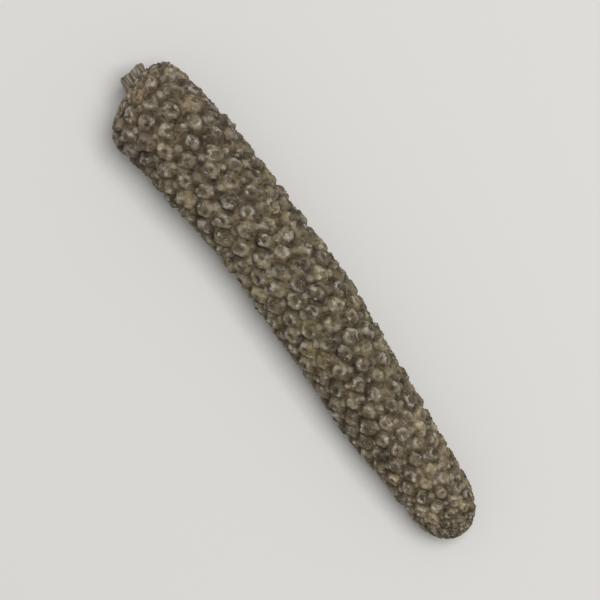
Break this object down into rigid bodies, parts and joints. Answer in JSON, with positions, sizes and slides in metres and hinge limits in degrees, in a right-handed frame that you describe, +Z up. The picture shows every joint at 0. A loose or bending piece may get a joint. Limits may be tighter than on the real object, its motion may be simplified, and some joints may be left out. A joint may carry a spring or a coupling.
{
  "type": "dried long pepper fruit spike",
  "caption": "One dried long pepper lying on its side: a gently bowed, blunt-tipped spike of small fused fruitlets in spirals, with a short broken stalk.",
  "frame": {"origin": "on the surface that it lies on, under the middle of its box", "axes": "+X from the stalk to the tip, +Y towards the side that the spike bows to, +Z up"},
  "size_m": [0.042, 0.008, 0.0072],
  "materials": {
    "fruitlets": "dry and matt, olive grey-brown, darker in the grooves",
    "stalk": "dry and matt, paler grey-brown, fibrous"
  },
  "bodies": {
    "root": {"fruit_spike": "fruitlets", "stalk_stub": "stalk"}
  },
  "joints": []
}
